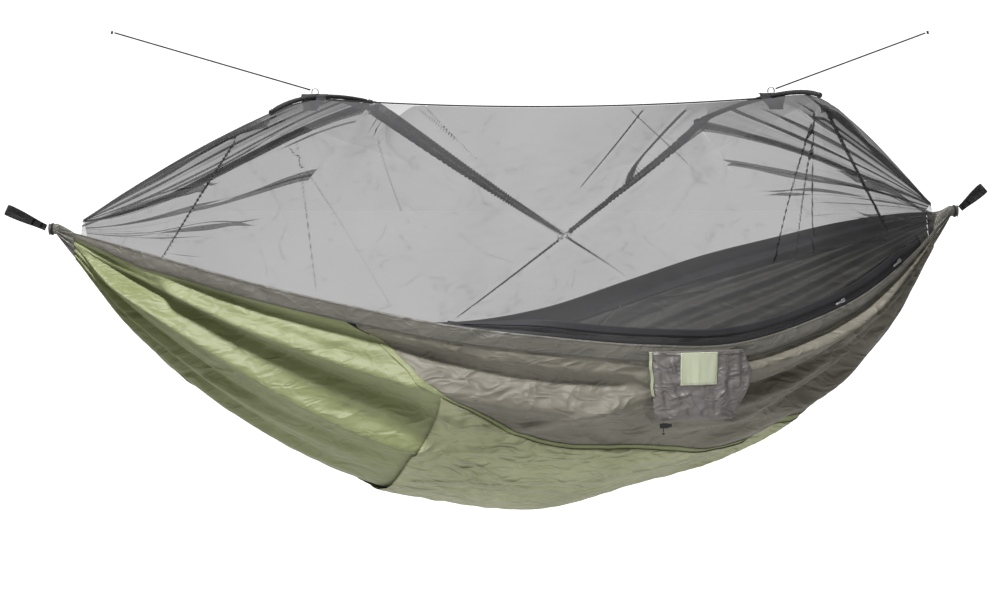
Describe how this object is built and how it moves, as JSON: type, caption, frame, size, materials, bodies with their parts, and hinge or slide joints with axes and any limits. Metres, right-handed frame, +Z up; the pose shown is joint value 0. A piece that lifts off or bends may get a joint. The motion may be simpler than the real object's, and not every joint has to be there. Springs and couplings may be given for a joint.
{
  "type": "camping hammock",
  "caption": "Gathered-end travel hammock with mat pocket, zip-on insect net on two arched spreader rods, rim-mounted stuff sack and webbing loops.",
  "frame": {"origin": "middle of the eye of the left webbing loop, where a tree strap or carabiner holds the hammock", "axes": "+X from the left loop to the right loop, +Y away from the zipped side, +Z up"},
  "size_m": [2.5736, 0.8683, 1.2596],
  "materials": {
    "green_ripstop": "smooth coated ripstop nylon with a soft sheen",
    "taupe_ripstop": "smooth coated ripstop nylon with a soft sheen",
    "pale_binding": "folded binding tape, stitched",
    "dark_band": "dark polyester tape and band",
    "black_cord": "braided polyester cord",
    "black_webbing": "flat woven webbing",
    "zip_coil": "nylon zip coil",
    "zip_metal": "die-cast metal",
    "sack_cloth": "shiny coated nylon",
    "label_cloth": "woven label, blank",
    "black_plastic": "moulded plastic",
    "rod": "fibreglass rod",
    "insect_net": "fine black insect mesh"
  },
  "bodies": {
    "suspension": {"left_suspension_loop": "black_webbing", "right_suspension_loop": "black_webbing", "ridge_cord": "black_cord", "near_net_wall": "insect_net", "far_net_wall": "insect_net", "left_net_end": "insect_net", "right_net_end": "insect_net", "left_spreader_rod": "rod", "left_rod_sleeve": "dark_band", "left_near_rod_cap": "black_plastic", "left_far_rod_cap": "black_plastic", "left_patch": "dark_band", "left_guy_tab": "black_webbing", "left_guy_line": "black_cord", "left_guy_knot": "black_cord", "right_spreader_rod": "rod", "right_rod_sleeve": "dark_band", "right_near_rod_cap": "black_plastic", "right_far_rod_cap": "black_plastic", "right_patch": "dark_band", "right_guy_tab": "black_webbing", "right_guy_line": "black_cord", "right_guy_knot": "black_cord"},
    "bed": {"bottom_panel": "green_ripstop", "near_side_panel": "taupe_ripstop", "far_side_panel": "taupe_ripstop", "mat_sleeve": "green_ripstop", "near_seam_tape": "pale_binding", "far_seam_tape": "pale_binding", "near_rim_hem": "taupe_ripstop", "far_rim_hem": "taupe_ripstop", "far_net_band": "dark_band", "left_end_bunch": "taupe_ripstop", "right_end_bunch": "taupe_ripstop", "left_whipping_cord": "black_cord", "right_whipping_cord": "black_cord", "lower_zip_tape": "dark_band", "lower_zip_coil": "zip_coil", "upper_zip_coil": "zip_coil", "upper_zip_tape": "dark_band", "near_net_hem": "dark_band"},
    "sack": {"stuff_sack": "sack_cloth", "sack_label": "label_cloth", "sack_binding": "pale_binding", "sack_drawcord": "black_cord", "drawcord_knot": "black_cord"},
    "cord_lock": {"cord_lock_body": "black_plastic", "cord_lock_spring": "zip_metal"},
    "lock_button": {"cord_lock_button": "black_plastic"},
    "left_slider": {"left_zip_slider": "zip_metal"},
    "right_slider": {"right_zip_slider": "zip_metal"},
    "left_pull": {"left_zip_pull": "zip_metal"},
    "right_pull": {"right_zip_pull": "zip_metal"}
  },
  "joints": [
    {"name": "bed_swing", "type": "hinge", "parent": "suspension", "child": "bed", "pos_m": [0.122, 0, -0.047], "axis": [0.9998, 0, 0.0201], "range_deg": [-15, 15], "deforming": ["near_net_wall", "far_net_wall", "left_net_end", "right_net_end"]},
    {"name": "sack_swing", "type": "hinge", "parent": "bed", "child": "sack", "pos_m": [1.7591, -0.3784, -0.3148], "axis": [-0.9787, -0.2055, 0], "range_deg": [0, 90]},
    {"name": "left_slider_travel", "type": "slide", "parent": "bed", "child": "left_slider", "axis": [0.8256, 0.4507, 0.3394], "range_m": [-0.035, 0.035]},
    {"name": "right_slider_travel", "type": "slide", "parent": "bed", "child": "right_slider", "axis": [0.6947, 0.5119, 0.5053], "range_m": [-0.035, 0.035]},
    {"name": "left_pull_swing", "type": "hinge", "parent": "left_slider", "child": "left_pull", "pos_m": [2.14583, -0.22759, -0.21111], "axis": [-0.2979, -0.1626, 0.9406], "range_deg": [0, 170]},
    {"name": "right_pull_swing", "type": "hinge", "parent": "right_slider", "child": "right_pull", "pos_m": [2.30627, -0.12458, -0.11989], "axis": [-0.4068, -0.2997, 0.8629], "range_deg": [0, 170]},
    {"name": "cord_lock_slide", "type": "slide", "parent": "sack", "child": "cord_lock", "axis": [0, 0, -1], "range_m": [0, 0.008]},
    {"name": "lock_button_press", "type": "slide", "parent": "cord_lock", "child": "lock_button", "axis": [-0.9787, -0.2055, 0], "range_m": [0, 0.0035], "stiffness_N_per_m": 400, "deforming": ["cord_lock_spring"]}
  ]
}
